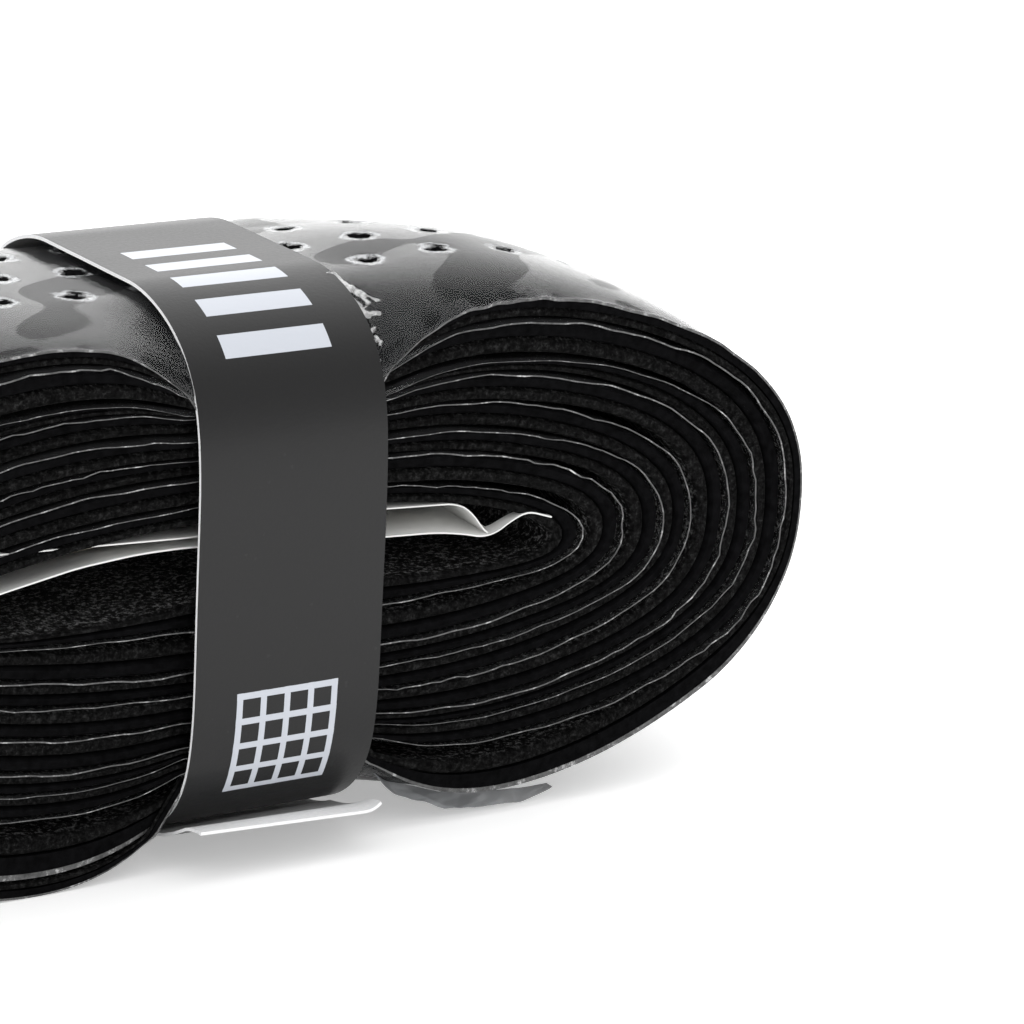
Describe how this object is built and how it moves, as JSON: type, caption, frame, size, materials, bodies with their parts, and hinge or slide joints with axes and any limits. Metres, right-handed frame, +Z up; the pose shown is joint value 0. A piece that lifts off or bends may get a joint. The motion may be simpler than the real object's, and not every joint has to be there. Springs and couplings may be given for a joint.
{
  "type": "grip tape roll",
  "caption": "Flat oval roll of perforated replacement grip tape for a racket handle, under clear film, held by a paper band with a free glued-lap flap.",
  "frame": {"origin": "middle of the flat underside of the paper band, on which the roll stands", "axes": "+X along the long axis of the oval, +Y across the tape from the face with the free flap to the other face, +Z up"},
  "size_m": [0.0709, 0.0286, 0.0319],
  "materials": {
    "grip_polyurethane": "soft-touch black polyurethane, perforated, seen glossy through the film",
    "felt": "black non-woven felt",
    "clear_film": "clear glossy film",
    "adhesive": "clear tacky acrylic",
    "release_liner": "light grey siliconised paper",
    "black_vinyl": "satin black vinyl tape",
    "band_paper": "satin charcoal coated paper, white inside",
    "glue": "dried glue"
  },
  "bodies": {
    "roll": {"grip_face": "grip_polyurethane", "felt_backing": "felt", "cover_film": "clear_film", "adhesive_patch": "adhesive", "adhesive_liner": "release_liner", "finishing_tape": "black_vinyl", "finishing_liner": "release_liner"},
    "band": {"paper_band": "band_paper", "lap_glue": "glue"},
    "flap": {"band_flap": "band_paper"}
  },
  "joints": [
    {"name": "band_slide", "type": "slide", "parent": "roll", "child": "band", "axis": [1, 0, 0], "range_m": [-0.044, 0.044]},
    {"name": "flap_hinge", "type": "hinge", "parent": "band", "child": "flap", "pos_m": [0, -0.00895, 0.00091], "axis": [1, 0, 0], "range_deg": [-16, 23], "stiffness_Nm_per_rad": 0.0001}
  ]
}
